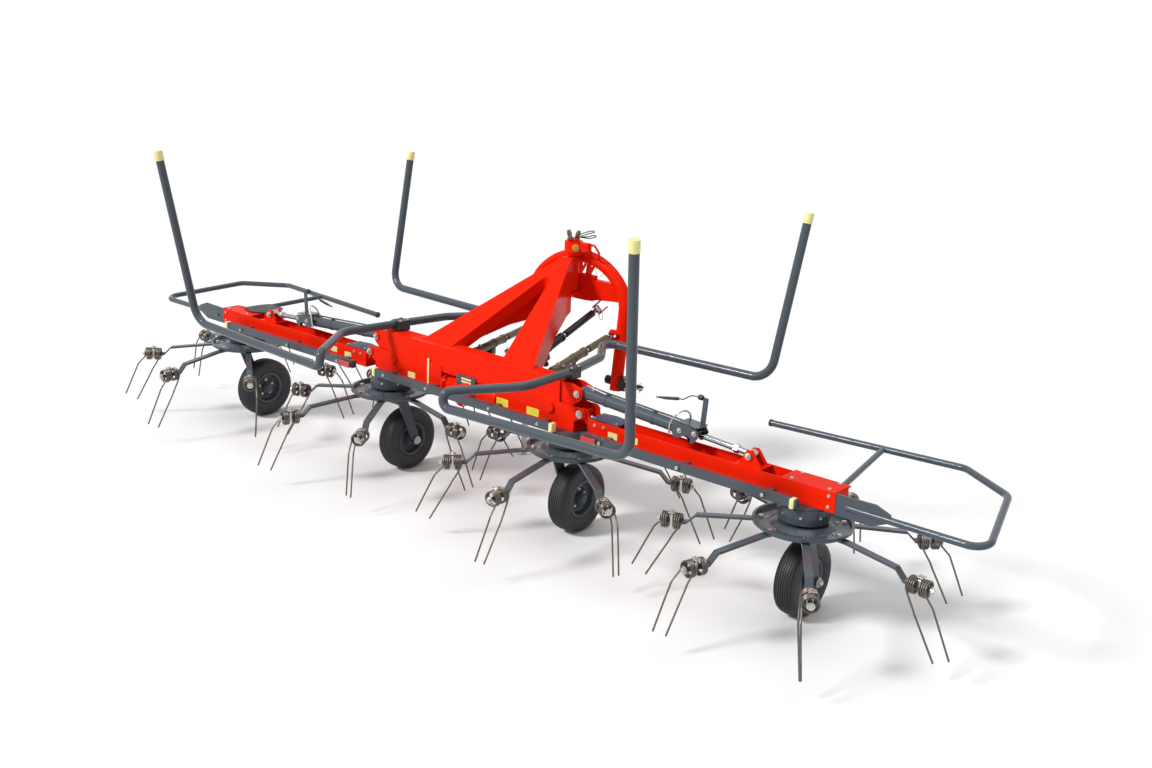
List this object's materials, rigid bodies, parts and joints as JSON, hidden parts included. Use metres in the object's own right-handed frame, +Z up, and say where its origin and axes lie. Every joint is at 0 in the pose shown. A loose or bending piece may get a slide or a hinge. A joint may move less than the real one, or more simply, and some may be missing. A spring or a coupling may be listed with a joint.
{
  "type": "mounted four-rotor hay tedder",
  "caption": "Mounted hay tedder in working position: folding wings, tined rotors on small wheels, guard tubes and a swivelling three-point headstock.",
  "frame": {"origin": "ground level under the middle of the bounding box: the tyres stand on Z = 0, midway between the end hoops and between the guard posts", "axes": "+X to the machine's right, along its working width; +Y forward, to the tractor; +Z up"},
  "size_m": [5.6144, 1.7192, 1.7425],
  "materials": {
    "paint_red": "glossy orange-red paint",
    "paint_grey": "satin slate-grey paint",
    "spring_steel": "dark bright spring steel",
    "tyre_black": "matt",
    "rubber_flap": "matt",
    "black_plastic": "matt",
    "cap_yellow": "satin",
    "rod_chrome": "polished",
    "pin_steel": "satin"
  },
  "bodies": {
    "frame": {"main_frame": "paint_red", "inner_carriers": "paint_red", "central_gearbox": "paint_red", "pto_shaft": "pin_steel", "pto_guard": "black_plastic", "guard_tubes": "paint_grey", "guard_clamps": "black_plastic", "post_caps": "cap_yellow", "centre_rail": "paint_grey", "rotor_mounts_centre": "paint_grey"},
    "headstock": {"headstock_bow": "paint_red", "lower_link_pins": "pin_steel", "parking_stand": "pin_steel", "hose_holder": "paint_red"},
    "damper_barrel_left": {"damper_barrel_left": "black_plastic"},
    "damper_rod_left": {"damper_rod_left": "rod_chrome"},
    "damper_barrel_right": {"damper_barrel_right": "black_plastic"},
    "damper_rod_right": {"damper_rod_right": "rod_chrome"},
    "damper_barrel_centre": {"damper_barrel_centre": "black_plastic"},
    "damper_rod_centre": {"damper_rod_centre": "rod_chrome"},
    "wing_left": {"wing_beam_left": "paint_red", "hinge_flap_left": "rubber_flap", "wing_rail_left": "paint_grey", "end_hoop_left": "paint_grey", "rotor_mount_left": "paint_grey"},
    "fold_barrel_left": {"fold_barrel_left": "paint_grey"},
    "fold_rod_left": {"fold_rod_left": "rod_chrome"},
    "wing_right": {"wing_beam_right": "paint_red", "hinge_flap_right": "rubber_flap", "wing_rail_right": "paint_grey", "end_hoop_right": "paint_grey", "rotor_mount_right": "paint_grey"},
    "fold_barrel_right": {"fold_barrel_right": "paint_grey"},
    "fold_rod_right": {"fold_rod_right": "rod_chrome"},
    "rotor_1": {"rotor_1": "paint_grey", "tines_1": "spring_steel"},
    "wheel_1": {"tyre_1": "tyre_black", "rim_1": "paint_grey"},
    "rotor_2": {"rotor_2": "paint_grey", "tines_2": "spring_steel"},
    "wheel_2": {"tyre_2": "tyre_black", "rim_2": "paint_grey"},
    "rotor_3": {"rotor_3": "paint_grey", "tines_3": "spring_steel"},
    "wheel_3": {"tyre_3": "tyre_black", "rim_3": "paint_grey"},
    "rotor_4": {"rotor_4": "paint_grey", "tines_4": "spring_steel"},
    "wheel_4": {"tyre_4": "tyre_black", "rim_4": "paint_grey"}
  },
  "joints": [
    {"name": "headstock_swivel", "type": "hinge", "parent": "frame", "child": "headstock", "pos_m": [0, 0.708, 1.15], "axis": [0, 0, 1], "range_deg": [-6, 6]},
    {"name": "damper_barrel_left_turn", "type": "hinge", "parent": "frame", "child": "damper_barrel_left", "pos_m": [-0.14, 0.05, 0.765], "axis": [0.1057, 0.0051, 0.9944], "range_deg": [-1.6, 1.6]},
    {"name": "damper_rod_left_slide", "type": "slide", "parent": "damper_barrel_left", "child": "damper_rod_left", "axis": [-0.2583, 0.9658, 0.0225], "range_m": [-0.036, 0.036]},
    {"name": "damper_barrel_right_turn", "type": "hinge", "parent": "frame", "child": "damper_barrel_right", "pos_m": [0.41, 0.05, 0.775], "axis": [-0.493, 0.0197, -0.8698], "range_deg": [-1.65, 1.65]},
    {"name": "damper_rod_right_slide", "type": "slide", "parent": "damper_barrel_right", "child": "damper_rod_right", "axis": [-0.1667, 0.9791, 0.1167], "range_m": [-0.0345, 0.0345]},
    {"name": "damper_barrel_centre_turn", "type": "hinge", "parent": "frame", "child": "damper_barrel_centre", "pos_m": [0.165, 0.05, 0.712], "axis": [-0.6574, -0.263, 0.7062], "range_deg": [-1.57, 1.57]},
    {"name": "damper_rod_centre_slide", "type": "slide", "parent": "damper_barrel_centre", "child": "damper_rod_centre", "axis": [-0.0264, 0.9446, 0.3272], "range_m": [-0.0185, 0.0185]},
    {"name": "wing_left_fold", "type": "hinge", "parent": "frame", "child": "wing_left", "pos_m": [-0.76, -0.034, 0.685], "axis": [0, 1, 0], "range_deg": [0, 90]},
    {"name": "fold_barrel_left_turn", "type": "hinge", "parent": "frame", "child": "fold_barrel_left", "pos_m": [-0.725, -0.034, 0.775], "axis": [0, 1, 0], "range_deg": [-1, 94.17]},
    {"name": "fold_rod_left_slide", "type": "slide", "parent": "fold_barrel_left", "child": "fold_rod_left", "axis": [-0.9981, 0, -0.0624], "range_m": [-0.1289, 0.002]},
    {"name": "wing_right_fold", "type": "hinge", "parent": "frame", "child": "wing_right", "pos_m": [0.76, -0.034, 0.685], "axis": [0, -1, 0], "range_deg": [0, 90]},
    {"name": "fold_barrel_right_turn", "type": "hinge", "parent": "frame", "child": "fold_barrel_right", "pos_m": [0.725, -0.034, 0.775], "axis": [0, -1, 0], "range_deg": [-1, 94.17]},
    {"name": "fold_rod_right_slide", "type": "slide", "parent": "fold_barrel_right", "child": "fold_rod_right", "axis": [0.9981, 0, -0.0624], "range_m": [-0.1289, 0.002]},
    {"name": "rotor_1_turn", "type": "hinge", "parent": "wing_left", "child": "rotor_1", "pos_m": [-1.98, -0.034, 0.47], "axis": [0, 0, 1], "continuous": true},
    {"name": "wheel_1_roll", "type": "hinge", "parent": "wing_left", "child": "wheel_1", "pos_m": [-1.952, 0.064, 0.178], "axis": [1, 0, 0], "continuous": true},
    {"name": "rotor_2_turn", "type": "hinge", "parent": "frame", "child": "rotor_2", "pos_m": [-0.66, -0.034, 0.47], "axis": [0, 0, 1], "continuous": true},
    {"name": "wheel_2_roll", "type": "hinge", "parent": "frame", "child": "wheel_2", "pos_m": [-0.632, 0.064, 0.178], "axis": [1, 0, 0], "continuous": true},
    {"name": "rotor_3_turn", "type": "hinge", "parent": "frame", "child": "rotor_3", "pos_m": [0.66, -0.034, 0.47], "axis": [0, 0, 1], "continuous": true},
    {"name": "wheel_3_roll", "type": "hinge", "parent": "frame", "child": "wheel_3", "pos_m": [0.632, 0.064, 0.178], "axis": [1, 0, 0], "continuous": true},
    {"name": "rotor_4_turn", "type": "hinge", "parent": "wing_right", "child": "rotor_4", "pos_m": [1.98, -0.034, 0.47], "axis": [0, 0, 1], "continuous": true},
    {"name": "wheel_4_roll", "type": "hinge", "parent": "wing_right", "child": "wheel_4", "pos_m": [1.952, 0.064, 0.178], "axis": [1, 0, 0], "continuous": true}
  ],
  "couplings": [
    {"joint": "damper_barrel_left_turn", "follows": "headstock_swivel", "ratio": 0.09987},
    {"joint": "damper_rod_left_slide", "follows": "headstock_swivel", "m_per_rad": -0.3052},
    {"joint": "damper_barrel_right_turn", "follows": "headstock_swivel", "ratio": 0.10762},
    {"joint": "damper_rod_right_slide", "follows": "headstock_swivel", "m_per_rad": 0.29172},
    {"joint": "damper_barrel_centre_turn", "follows": "headstock_swivel", "ratio": 0.0952},
    {"joint": "damper_rod_centre_slide", "follows": "headstock_swivel", "m_per_rad": 0.1385},
    {"joint": "fold_barrel_left_turn", "follows": "wing_left_fold", "ratio": 1.0353},
    {"joint": "fold_rod_left_slide", "follows": "wing_left_fold", "m_per_rad": -0.08078},
    {"joint": "fold_barrel_right_turn", "follows": "wing_right_fold", "ratio": 1.0353},
    {"joint": "fold_rod_right_slide", "follows": "wing_right_fold", "m_per_rad": -0.08078},
    {"joint": "rotor_1_turn", "follows": "rotor_2_turn", "ratio": -1},
    {"joint": "rotor_3_turn", "follows": "rotor_2_turn", "ratio": -1},
    {"joint": "rotor_4_turn", "follows": "rotor_2_turn", "ratio": 1}
  ]
}
